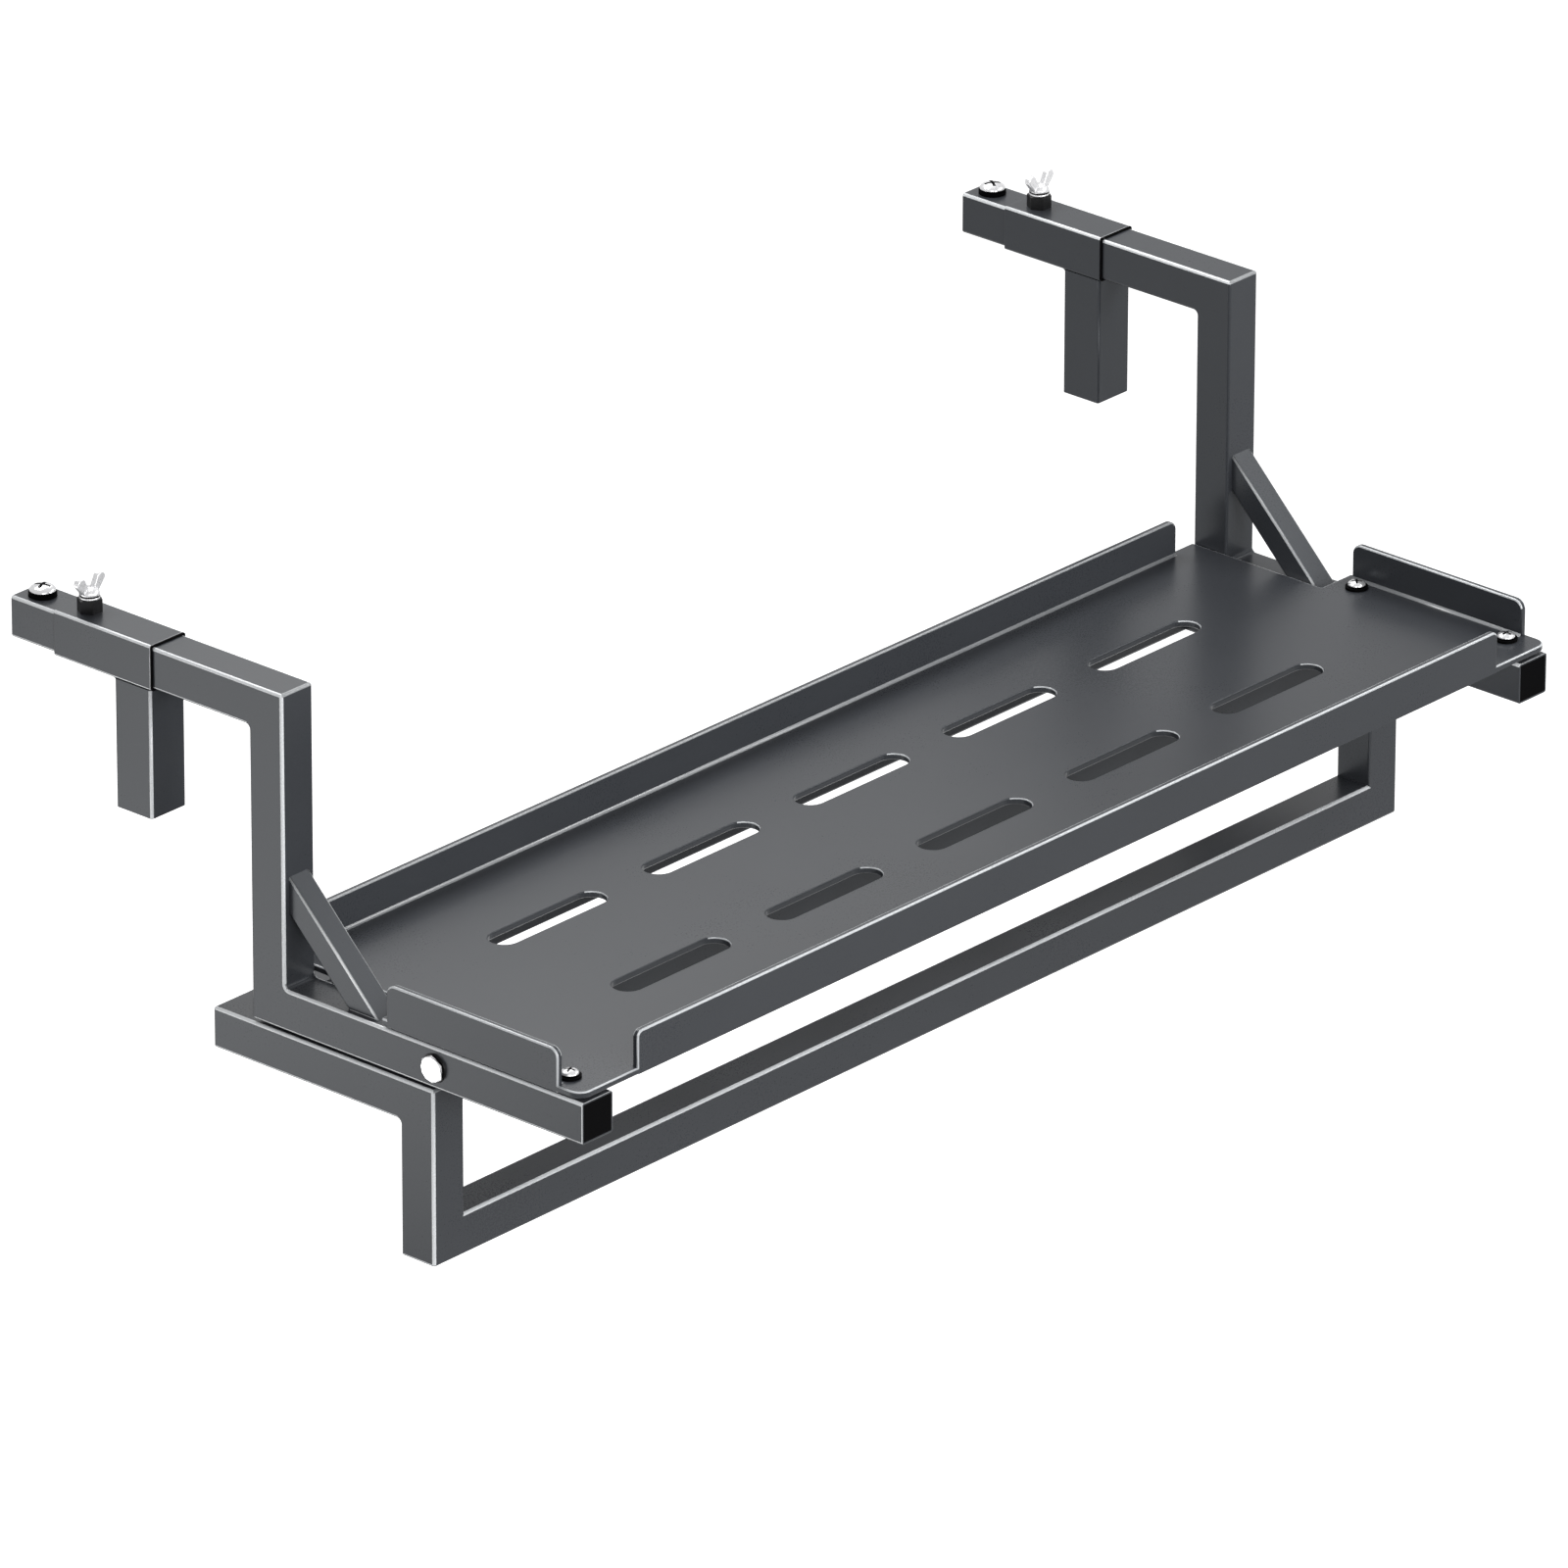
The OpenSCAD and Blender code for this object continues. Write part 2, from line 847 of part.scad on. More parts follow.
top_tube(-1);  // left_top_tube
top_tube(1);  // right_top_tube
post(-1);  // left_post
post(1);  // right_post
support_tube(-1);  // left_support_tube
support_tube(1);  // right_support_tube
brace(-1);  // left_brace
brace(1);  // right_brace
top_tube_plugs();
support_tube_plugs();
stop_screws();
stop_washers();
stop_rivet_nuts();
cross_tube();
cross_tube_end_plates();
cross_tube_nuts();
side_bolts();
side_washers();
tray();
tray_screws();
tray_washers();
tray_pads();
tray_rivet_nuts();
frame_rear_tube();
frame_side_tube(-1);  // frame_left_side_tube
frame_side_tube(1);  // frame_right_side_tube
frame_drop(-1);  // frame_left_drop
frame_drop(1);  // frame_right_drop
frame_bottom_tube();
frame_bolts();
frame_washers();
frame_pads();
frame_rivet_nuts();
hook_sleeve(-1);  // left_hook_sleeve
hook_sleeve(1);  // right_hook_sleeve
sleeve_ring(-1);  // left_sleeve_ring
sleeve_ring(1);  // right_sleeve_ring
hook_leg(-1);  // left_hook_leg
hook_leg(1);  // right_hook_leg
leg_plug(-1);  // left_leg_plug
leg_plug(1);  // right_leg_plug
weld_nut(-1);  // left_weld_nut
weld_nut(1);  // right_weld_nut
wing_bolt(-1);  // left_wing_bolt
wing_bolt(1);  // right_wing_bolt
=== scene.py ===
import json
import math

import bmesh
import bpy
from mathutils import Matrix, Vector
from mathutils.geometry import tessellate_polygon


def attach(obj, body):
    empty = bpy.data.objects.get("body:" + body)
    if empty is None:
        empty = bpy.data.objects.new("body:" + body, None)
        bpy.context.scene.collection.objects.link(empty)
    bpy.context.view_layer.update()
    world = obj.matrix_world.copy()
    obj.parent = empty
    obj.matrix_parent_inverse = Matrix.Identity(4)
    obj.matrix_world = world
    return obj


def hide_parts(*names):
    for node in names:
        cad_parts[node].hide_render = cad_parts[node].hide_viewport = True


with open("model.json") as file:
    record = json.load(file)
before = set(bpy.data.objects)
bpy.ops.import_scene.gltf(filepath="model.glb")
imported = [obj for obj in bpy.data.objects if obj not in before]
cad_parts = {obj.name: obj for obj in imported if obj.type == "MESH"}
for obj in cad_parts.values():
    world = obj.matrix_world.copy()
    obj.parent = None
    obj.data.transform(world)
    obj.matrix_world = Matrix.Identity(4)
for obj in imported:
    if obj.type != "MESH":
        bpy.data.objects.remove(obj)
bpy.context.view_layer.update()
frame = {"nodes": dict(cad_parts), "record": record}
nodes = frame["nodes"]

# Lengths are in metres. X runs along the rail, Y out over it, Z up. The origin is the rail's
# inner top corner, midway between the arms.
MM = 0.001
X, Y, Z = range(3)
SIDES = ((-1, "left"), (1, "right"))

# Sizes of the part, the same as in the CAD source
TUBE = 25 * MM
WALL = 1.2 * MM
EDGE = 1.6 * MM
FILLET = 3 * MM
ARM_X = 402.5 * MM
SPAN = 830 * MM
ARM_D = 248 * MM
DROP = 153 * MM
REACH = 182 * MM
BOTTOM = -DROP - TUBE
SLEEVE = 27.4 * MM
SLEEVE_WALL = 1.0 * MM
SLEEVE_EDGE = 1.4 * MM
SLEEVE_L = 74 * MM
RAIL_GAP = 74 * MM
LEG_H = 78 * MM
LEG_TOP = -1.2 * MM
RING_L = 1.5 * MM
BRACE = 16 * MM
BRACE_RISE = 67 * MM
FRAME_FRONT = -137 * MM
FRAME_BACK = 30 * MM
FRAME_TOP = -180 * MM
FRAME_BOTTOM = -288 * MM
TRAY_BOTTOM = -151 * MM
TRAY_T = 4 * MM
TRAY_W = 832 * MM
CHEEK = 149 * MM
REAR_W = 778 * MM
LONG_LIP = 739 * MM
LIP_H = 26 * MM
SIDE_LIP_FRONT = -231 * MM
SIDE_LIP_L = 128 * MM
SLOT_L = 90 * MM
SLOT_W = 18.5 * MM
SLOT_PITCH = 128 * MM
SLOT_ROWS = (-170 * MM, -77 * MM)
TRAY_SCREW_Y = (-227.5 * MM, -114.5 * MM)
STOP_SCREW_Y = 169.5 * MM
WING_Y = 133 * MM
WING_SEAT = 34.2 * MM
WING_SPAN = 22 * MM
WING_H = 13.5 * MM
SIDE_BOLT_Y = -138 * MM
FRAME_BOLT_Y = (-95 * MM, -35 * MM)

# Sizes of the scene alone
END_EDGE = 0.35 * MM
SLEEVE_RIM = 0.3 * MM
RING_RIM = 0.4 * MM
MOUTH_DEPTH = 16 * MM
TRAY_SCREW_HEAD = 10.6 * MM
STOP_SCREW_HEAD = 15.2 * MM
SIDE_HEAD = 15.2 * MM
SIDE_HEAD_H = 2.3 * MM
COLLAR = 17.5 * MM
COLLAR_H = 0.8 * MM

# Material indexes of a face: flat side, rounded edge that may carry a painted highlight, dark part
# (mostly painted shade), bend; the edge rule turns bends into plain paint and puts the dimmer
# painted highlight of upper edges along X on the bend index
FACE, RIM, DARK, BEND = range(4)


# ---------------------------------------------------------------- materials


def empty_tree(owner):
    """The cleared node tree of a material or world."""
    owner.use_nodes = True
    owner.node_tree.nodes.clear()
    return owner.node_tree


def noise(nt, coord, scale, detail):
    n = nt.nodes.new("ShaderNodeTexNoise")
    n.inputs["Scale"].default_value = scale
    n.inputs["Detail"].default_value = detail
    n.inputs["Roughness"].default_value = 0.55
    nt.links.new(coord.outputs["Object"], n.inputs["Vector"])
    return n.outputs["Fac"]


def calc(nt, operation, *values):
    """A Math node's result; each value is a number or the output of another node."""
    m = nt.nodes.new("ShaderNodeMath")
    m.operation = operation
    for socket, value in zip(m.inputs, values):
        if isinstance(value, float):
            socket.default_value = value
        else:
            nt.links.new(value, socket)
    return m.outputs[0]


def ramp(nt, fac, low, high, start=0.3, end=0.7):
    """A number that runs from low to high as fac runs from start to end."""
    m = nt.nodes.new("ShaderNodeMapRange")
    m.inputs["From Min"].default_value = start
    m.inputs["From Max"].default_value = end
    m.inputs["To Min"].default_value = low
    m.inputs["To Max"].default_value = high
    nt.links.new(fac, m.inputs["Value"])
    return m.outputs["Result"]


def mixed(nt, fac, a, b):
    """A colour that runs from a to b as fac runs from 0 to 1."""
    m = nt.nodes.new("ShaderNodeMix")
    m.data_type = "RGBA"
    m.inputs["A"].default_value = (*a, 1)
    m.inputs["B"].default_value = (*b, 1)
    nt.links.new(fac, m.inputs["Factor"])
    return m.outputs["Result"]


def bumped(nt, height, depth):
    b = nt.nodes.new("ShaderNodeBump")
    b.inputs["Strength"].default_value = 1.0
    b.inputs["Distance"].default_value = depth
    nt.links.new(height, b.inputs["Height"])
    return b.outputs["Normal"]


def surface(name, dark, light, rough, metallic=0.0, grain=900, grain_depth=4e-6, patch=9,
            spec=0.5, tint=(1.0, 1.0, 1.0)):
    """A finish with cloudy colour, fine grain and uneven gloss."""
    mat = bpy.data.materials.new(name)
    nt = empty_tree(mat)
    out = nt.nodes.new("ShaderNodeOutputMaterial")
    bsdf = nt.nodes.new("ShaderNodeBsdfPrincipled")
    nt.links.new(bsdf.outputs["BSDF"], out.inputs["Surface"])
    coord = nt.nodes.new("ShaderNodeTexCoord")
    cloud = noise(nt, coord, patch, 4.0)
    fine = noise(nt, coord, grain, 2.0)
    both = calc(nt, "MULTIPLY_ADD", fine, 0.45, calc(nt, "MULTIPLY", cloud, 0.55))
    colour = mixed(nt, ramp(nt, both, 0, 1, 0.35, 0.65), dark, light)
    nt.links.new(colour, bsdf.inputs["Base Color"])
    nt.links.new(ramp(nt, both, *rough), bsdf.inputs["Roughness"])
    nt.links.new(bumped(nt, fine, grain_depth), bsdf.inputs["Normal"])
    bsdf.inputs["Metallic"].default_value = metallic
    bsdf.inputs["IOR"].default_value = 1.5
    bsdf.inputs["Specular IOR Level"].default_value = spec
    bsdf.inputs["Specular Tint"].default_value = (*tint, 1)
    return mat


PAINT = surface("powder_coat", (0.037, 0.040, 0.0455), (0.042, 0.045, 0.051), (0.26, 0.32),
                grain=1100, grain_depth=3e-6, spec=0.22, tint=(0.93, 0.97, 1.0))
# Light edge colour: a painted highlight on upper rounded edges and on the left arm's upright outer
# ones
PAINT_EDGE_HIGHLIGHT = surface("powder_coat_painted_edge_highlight", (0.72, 0.74, 0.76), (0.80, 0.82, 0.84), (0.24, 0.30),
                     grain=1100, grain_depth=2e-6, spec=0.8)
# Painted highlight on the tray's upper rounded edges, and painted glints on its slot rims
PAINT_LIP_HIGHLIGHT = surface("powder_coat_lip_painted_highlight", (0.50, 0.52, 0.54), (0.58, 0.60, 0.62), (0.24, 0.30),
                    grain=1100, grain_depth=2e-6, spec=0.8)
# A dimmer painted highlight: on the tray's inside bends and back lip edge, and on upper edges
# along X elsewhere
PAINT_DIM_HIGHLIGHT = surface("powder_coat_painted_dim_highlight", (0.24, 0.25, 0.26), (0.30, 0.31, 0.32), (0.22, 0.28),
                     grain=1100, grain_depth=2e-6, spec=0.8)
# Black plastic; also painted shade in tube mouths, bolt sockets and screw recesses, and a painted
# dark reflection on screw heads' sides
BLACK_PLASTIC_AND_SHADE = surface("black_plastic_and_painted_shade", (0.0012, 0.0012, 0.0014), (0.0022, 0.0022, 0.0025),
                (0.60, 0.72), grain=1600, grain_depth=6e-6, spec=0.02)
CHROME = surface("bright_plating", (0.66, 0.66, 0.67), (0.76, 0.76, 0.77), (0.14, 0.20),
                 metallic=0.6, grain=700, grain_depth=1e-6)
WINGS = surface("wing_plating", (0.66, 0.66, 0.67), (0.78, 0.78, 0.79), (0.24, 0.32),
                metallic=0.45, grain=700, grain_depth=2e-6)
ZINC = surface("zinc_plating", (0.46, 0.47, 0.49), (0.60, 0.61, 0.63), (0.28, 0.42),
               metallic=1.0, grain=500, grain_depth=4e-6, patch=60)
# Black steel; also painted shade in the wing hub's groove and a painted dark reflection on the
# side bolts' head sides
DARK_STEEL_AND_SHADE = surface("black_steel", (0.003, 0.003, 0.0034), (0.007, 0.007, 0.0076),
                     (0.32, 0.45), grain=700, grain_depth=5e-6, spec=0.2)

# A piece's materials, by material index
PAINTED = (PAINT, PAINT_EDGE_HIGHLIGHT, BLACK_PLASTIC_AND_SHADE, PAINT_DIM_HIGHLIGHT)

BY_SLOT = {"paint": PAINT, "plastic": BLACK_PLASTIC_AND_SHADE, "chrome": CHROME, "zinc": ZINC,
           "black_steel": DARK_STEEL_AND_SHADE}
for entry in frame["record"]["subparts"]:
    node = nodes[entry["node"]]
    node.data.materials.clear()
    node.data.materials.append(BY_SLOT[entry["material_slot"]])
nodes["tray_washers"].data.materials[0] = BLACK_PLASTIC_AND_SHADE


# ---------------------------------------------------------------- pieces


def paint_edge_highlights(bm, across, slot_glints=False):
    """Paints highlights on rounded edges. Upper edges, and the left arm's upright outer ones, keep
    the light edge colour as a painted highlight; other rounded edges and bends get plain paint.

    across is the material index of upper edges that run along X, a dimmer painted highlight on
    most pieces. With slot_glints the upper rims at the right ends of the slots get a painted
    glint.
    """
    looks_up = 0.1
    for f in bm.faces:
        n = f.normal
        if f.material_index == BEND:
            lit = slot_glints and n.z > looks_up and n.x < -0.35
            f.material_index = RIM if lit else FACE
        elif f.material_index == RIM:
            outward = n.x < 0.05 and n.y < 0.05 and f.calc_center_median().x < 0
            if n.z < looks_up and not (outward and abs(n.z) < 0.25):
                f.material_index = FACE
            elif n.z > looks_up and abs(n.y) > abs(n.x) + 0.1:
                f.material_index = across


def link_object(name, data):
    ob = bpy.data.objects.new(name, data)
    bpy.context.scene.collection.objects.link(ob)
    return ob


def add_piece(name, bm, body, replaced, mats):
    """Turns the mesh into a piece that rides on a body and stands for some CAD nodes."""
    me = bpy.data.meshes.new(name)
    bm.to_mesh(me)
    bm.free()
    ob = link_object(name, me)
    for m in mats:
        me.materials.append(m)
    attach(ob, body)
    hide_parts(*replaced)


def add_solid(name, bm, body, replaced, mats=PAINTED, across=BEND):
    """Adds a piece with flat sides and smooth rounded edges; the function above paints highlights
    on some of the edges.
    """
    bmesh.ops.remove_doubles(bm, verts=bm.verts, dist=1e-7)
    bmesh.ops.recalc_face_normals(bm, faces=bm.faces)
    for f in bm.faces:
        f.smooth = f.material_index in (RIM, BEND)
    paint_edge_highlights(bm, across)
    add_piece(name, bm, body, replaced, mats)


# ---------------------------------------------------------------- mesh tools


def merge(bm, part):
    """Adds the part to bm and frees it."""
    tmp = bpy.data.meshes.new("part")
    part.to_mesh(tmp)
    part.free()
    bm.from_mesh(tmp)
    bpy.data.meshes.remove(tmp)


def shift(bm, x, y, z):
    bm.transform(Matrix.Translation(Vector((x, y, z))))


def arc(cx, cy, r, start, end, steps=8):
    """Points of an arc between two angles in degrees."""
    angles = [math.radians(start + (end - start) * i / steps) for i in range(steps + 1)]
    return [(cx + r * math.cos(a), cy + r * math.sin(a)) for a in angles]


def ring(bm, radii, height):
    """Closed ring of points around Z, one for each radius."""
    turns = [2 * math.pi * i / len(radii) for i in range(len(radii))]
    return [bm.verts.new((r * math.cos(a), r * math.sin(a), height))
            for r, a in zip(radii, turns)]


def bridge(bm, a, b, material=FACE):
    """Quads between two closed rings, in the order of their points."""
    made = []
    for i in range(len(a)):
        j = (i + 1) % len(a)
        made.append(bm.faces.new((a[i], a[j], b[j], b[i])))
        made[-1].material_index = material
    return made


def prism(bm, outline, low, high, place, material=FACE):
    """Solid between two copies of an outline; place turns (a, b, along) into a point."""
    ends = [[bm.verts.new(place(a, b, along)) for a, b in outline] for along in (low, high)]
    for end in (ends[0], ends[1][::-1]):
        bm.faces.new(end).material_index = material
    bridge(bm, *ends, material)


def lathe(bm, profile, n=32):
    """Turned body around Z from (radius, height) pairs; the first and last radius are zero."""
    (_, start), *middle, (_, end) = profile
    rings = [ring(bm, [r] * n, h) for r, h in middle]
    for a, b in zip(rings, rings[1:]):
        bridge(bm, a, b, RIM)
    for height, rim in ((start, rings[0]), (end, rings[-1])):
        tip = bm.verts.new((0, 0, height))
        for i in range(n):
            bm.faces.new((tip, rim[i], rim[(i + 1) % n])).material_index = RIM


# A grid cell's six sides: the step to the next cell, and the side's corners
CELL_SIDES = (
    ((1, 0, 0), ((1, 0, 0), (1, 1, 0), (1, 1, 1), (1, 0, 1))),
    ((-1, 0, 0), ((0, 0, 0), (0, 0, 1), (0, 1, 1), (0, 1, 0))),
    ((0, 1, 0), ((0, 1, 0), (0, 1, 1), (1, 1, 1), (1, 1, 0))),
    ((0, -1, 0), ((0, 0, 0), (1, 0, 0), (1, 0, 1), (0, 0, 1))),
    ((0, 0, 1), ((0, 0, 1), (1, 0, 1), (1, 1, 1), (0, 1, 1))),
    ((0, 0, -1), ((0, 0, 0), (0, 1, 0), (1, 1, 0), (1, 0, 0))),
)


def grid_solid(xs, ys, zs, cells):
    """Solid made of the filled cells of a grid, with its flat sides merged."""
    bm = bmesh.new()
    made = {}

    def vert(i, j, k):
        if (i, j, k) not in made:
            made[i, j, k] = bm.verts.new((xs[i], ys[j], zs[k]))
        return made[i, j, k]

    for i, j, k in cells:
        for step, quad in CELL_SIDES:
            if (i + step[X], j + step[Y], k + step[Z]) not in cells:
                bm.faces.new([vert(i + a, j + b, k + c) for a, b, c in quad])
    bmesh.ops.recalc_face_normals(bm, faces=bm.faces)
    bmesh.ops.dissolve_limit(bm, angle_limit=0.01, verts=bm.verts, edges=bm.edges)
    return bm


def sharp_edges(bm, convex=True):
    """Edges that turn by more than about 50 degrees."""
    return [e for e in bm.edges if len(e.link_faces) == 2 and e.calc_face_angle(0) > 0.9
            and e.is_convex == convex]


def round_edges(bm, edges, radius, segments, material=RIM):
    bmesh.ops.bevel(bm, geom=edges, offset=radius, offset_type="OFFSET", segments=segments,
                    profile=0.5, affect="EDGES", clamp_overlap=True, material=material)


def on_plane(edge, axis, value, tol=1e-6):
    return all(abs(v.co[axis] - value) < tol for v in edge.verts)


def face_at(bm, axis, value):
    """The largest face that lies square to an axis at a value."""
    found = [f for f in bm.faces if abs(abs(f.normal[axis]) - 1) < 1e-4
             and abs(f.calc_center_median()[axis] - value) < 1e-6]
    return max(found, key=lambda f: f.calc_area())


def hollow_mouth(bm, axis, value, inward, wall):
    """Opens the end of a bar, as a tube is open; inward is 1 or -1 along the axis. The pocket gets
    the dark index, black like the tube's plastic plug; on its walls that black is painted shade.
    """
    f = face_at(bm, axis, value)
    bmesh.ops.inset_region(bm, faces=[f], thickness=wall, use_even_offset=True)
    made = bmesh.ops.extrude_face_region(bm, geom=[f])
    verts = [v for v in made["geom"] if isinstance(v, bmesh.types.BMVert)]
    step = Vector((0, 0, 0))
    step[axis] = inward * MOUTH_DEPTH
    bmesh.ops.translate(bm, verts=verts, vec=step)
    # The pocket's walls are painted black as shade
    for g in {g for v in verts for g in v.link_faces}:
        g.material_index = DARK
    bmesh.ops.delete(bm, geom=[f], context="FACES_ONLY")


def carve(bm, planes):
    """A copy of the solid on the inner side of every plane, closed where it was cut."""
    part = bm.copy()
    for point, outward in planes:
        bmesh.ops.bisect_plane(part, geom=part.verts[:] + part.edges[:] + part.faces[:],
                               dist=1e-7, plane_co=point, plane_no=outward, clear_outer=True)
        rim = [e for e in part.edges if len(e.link_faces) == 1]
        for f in bmesh.ops.edgeloop_fill(part, edges=rim)["faces"]:
            f.material_index = FACE
    return part


def loop_inset(loop, d):
    """Moves a closed outline inwards by d; the outline runs anticlockwise."""
    moved = []
    for i in range(len(loop)):
        p0, p1, p2 = (Vector(loop[k % len(loop)]) for k in (i - 1, i, i + 1))
        a, b = (p1 - p0).normalized(), (p2 - p1).normalized()
        na, nb = Vector((-a.y, a.x)), Vector((-b.y, b.x))
        mid = na + nb
        moved.append(tuple(p1 + mid * (d / max(1e-9, mid.dot(na)))))
    return moved


def rounded_plate(outer, holes, low, high, radius, steps=3):
    """Flat plate between two heights, with holes and rounded rims."""
    bm = bmesh.new()
    # Inset and height of each ring of points, from the underside to the top
    quarter = [math.pi / 2 * i / steps for i in range(steps + 1)]
    levels = [(radius * (1 - math.cos(a)), low + radius * (1 - math.sin(a))) for a in quarter]
    levels = levels[::-1] + [(d, low + high - z) for d, z in levels]
    rows = []
    for d, z in levels:
        loops = [loop_inset(outer, d)] + [loop_inset(hole, -d) for hole in holes]
        rows.append([[bm.verts.new((x, y, z)) for x, y in loop] for loop in loops])
    for (d_a, _), (d_b, _), row_a, row_b in zip(levels, levels[1:], rows, rows[1:]):
        wall = abs(d_a - d_b) < 1e-9
        for n, (a, b) in enumerate(zip(row_a, row_b)):
            bridge(bm, a, b, FACE if wall else BEND if n else RIM)
    for row in (rows[0], rows[-1]):
        flat = [v for loop in row for v in loop]
        for tri in tessellate_polygon([[v.co for v in loop] for loop in row]):
            if len(set(tri)) == 3:
                bm.faces.new([flat[i] for i in tri])
    return bm


# ---------------------------------------------------------------- arms


def arm(side, name):
    """Top tube, post and support tube, mitred where they meet."""
    x0 = side * ARM_X - TUBE / 2
    bm = grid_solid((x0, x0 + TUBE), (-ARM_D, -TUBE, 0.0, REACH), (BOTTOM, -DROP, 0.0, TUBE),
                    {(0, 0, 0), (0, 1, 0), (0, 1, 1), (0, 1, 2), (0, 2, 2)})
    round_edges(bm, sharp_edges(bm, convex=False), FILLET, 5, BEND)

    def at_mouth(edge):
        return on_plane(edge, Y, -ARM_D) or on_plane(edge, Y, REACH)

    round_edges(bm, [e for e in sharp_edges(bm) if not at_mouth(e)], EDGE, 5)
    round_edges(bm, [e for e in sharp_edges(bm) if at_mouth(e)], END_EDGE, 2)
    upper, lower = Vector((0, 1, 1)), Vector((0, -1, -1))
    top_corner, bottom_corner = Vector((0, 0, 0)), Vector((0, 0, BOTTOM))
    top_tube = carve(bm, [(top_corner, lower)])
    post = carve(bm, [(top_corner, upper), (bottom_corner, lower)])
    support_tube = carve(bm, [(bottom_corner, upper)])
    hollow_mouth(top_tube, Y, REACH, -1, WALL - END_EDGE)
    hollow_mouth(support_tube, Y, -ARM_D, 1, WALL - END_EDGE)
    for kind, part in (("top_tube", top_tube), ("post", post), ("support_tube", support_tube)):
        add_solid(name + "_" + kind + "_coated", part, "table", [name + "_" + kind])
    bm.free()


def brace(side, name):
    """Diagonal bar from the post to the support tube; its ends reach a little into both."""
    x, half, run, over = side * ARM_X, BRACE / 2, BRACE * math.sqrt(2), 0.5 * MM
    foot = BOTTOM + TUBE
    pts = [(-TUBE + over, foot + BRACE_RISE + over),
           (-TUBE + over, foot + BRACE_RISE - run + over),
           (-TUBE - BRACE_RISE + run - over, foot - over),
           (-TUBE - BRACE_RISE - over, foot - over)]
    bm = bmesh.new()
    prism(bm, pts, -half, half, lambda y, z, along: (x + along, y, z))
    bmesh.ops.recalc_face_normals(bm, faces=bm.faces)

    def spread(edge, axis):
        return abs(edge.verts[0].co[axis] - edge.verts[1].co[axis])

    long_edges = [e for e in bm.edges if spread(e, X) < 1e-7 and spread(e, Y) > 5 * MM]
    round_edges(bm, long_edges, 1.2 * MM, 4)
    add_solid(name + "_brace_coated", bm, "table", [name + "_brace"])


for side, name in SIDES:
    arm(side, name)
for side, name in SIDES:
    brace(side, name)


# ---------------------------------------------------------------- lower frame


def lower_frame():
    """Rear tube, side tubes, drops and bottom tube, carved from one solid at their mitres."""
    half = SPAN / 2
    xs = (-half, -half + TUBE, half - TUBE, half)
    ys = (FRAME_FRONT, FRAME_FRONT + TUBE, FRAME_BACK - TUBE, FRAME_BACK)
    zs = (FRAME_BOTTOM, FRAME_BOTTOM + TUBE, FRAME_TOP - TUBE, FRAME_TOP)
    cells = {(i, 2, 2) for i in range(3)} | {(i, j, 2) for i in (0, 2) for j in range(3)}
    cells |= {(i, 0, k) for i in (0, 2) for k in range(3)} | {(i, 0, 0) for i in range(3)}
    bm = grid_solid(xs, ys, zs, cells)
    creases = [e for e in sharp_edges(bm, convex=False)
               if abs(e.verts[0].co.x - e.verts[1].co.x) > TUBE / 2]
    round_edges(bm, creases, FILLET, 5, BEND)
    round_edges(bm, sharp_edges(bm), EDGE, 5)

    def add(kind, planes, across=BEND):
        planes = [(Vector(point), Vector(outward)) for point, outward in planes]
        add_solid("frame_" + kind + "_coated", carve(bm, planes), "table", ["frame_" + kind],
                  across=across)

    bend = (0, FRAME_FRONT, FRAME_TOP)
    corners = {side: (side * half, FRAME_BACK, 0) for side, _ in SIDES}
    feet = {side: (side * half, 0, FRAME_BOTTOM) for side, _ in SIDES}
    for side, name in SIDES:
        this_side = ((0, 0, 0), (-side, 0, 0))
        add(name + "_side_tube", [this_side, (corners[side], (-side, 1, 0)), (bend, (0, -1, -1))])
        add(name + "_drop", [this_side, (bend, (0, 1, 1)), (feet[side], (-side, 0, -1))])
    behind = ((0, FRAME_BACK - 2 * TUBE, 0), (0, -1, 0))
    below = ((0, 0, FRAME_BOTTOM + 2 * TUBE), (0, 0, 1))
    add("rear_tube", [behind, (corners[1], (1, -1, 0)), (corners[-1], (-1, -1, 0))])
    # The bottom tube's upper edges along X get the full painted highlight, not the dimmer one
    add("bottom_tube", [below, (feet[1], (1, 0, 1)), (feet[-1], (-1, 0, 1))], across=RIM)
    bm.free()


lower_frame()


# ---------------------------------------------------------------- hooks


def open_tube(x, start, length, rim):
    """Square tube along Y around the top tube, open at both ends, with rounded rims."""
    def outline(size, radius):
        h = size / 2 - radius
        pts = []
        for cx, cy, a in ((h, h, 0), (-h, h, 90), (-h, -h, 180), (h, -h, 270)):
            pts += arc(cx, cy, radius, a, a + 90, 5)
        return pts

    # Size, corner radius and place of each ring: outside from end to end, then inside
    rings = [(SLEEVE - 2 * inset, max(SLEEVE_EDGE - inset, 0.2 * MM), along)
             for inset, along in ((rim, 0), (rim * 0.29, rim * 0.29), (0, rim))]
    rings += [(size, r, length - along) for size, r, along in rings[::-1]]
    rings += [(SLEEVE - 2 * SLEEVE_WALL, 0.4 * MM, along) for along in (length, 0)]
    bm = bmesh.new()
    z = TUBE / 2
    loops = [[bm.verts.new((x + u, start + along, z + v)) for u, v in outline(size, r)]
             for size, r, along in rings]
    rims, long_side, per_corner = (0, 1, 3, 4), 2, 6
    for i, loop in enumerate(loops):
        for j, f in enumerate(bridge(bm, loop, loops[(i + 1) % len(loops)])):
            in_corner = j % per_corner != per_corner - 1
            if i in rims or (i == long_side and in_corner):
                f.material_index = RIM
    return bm


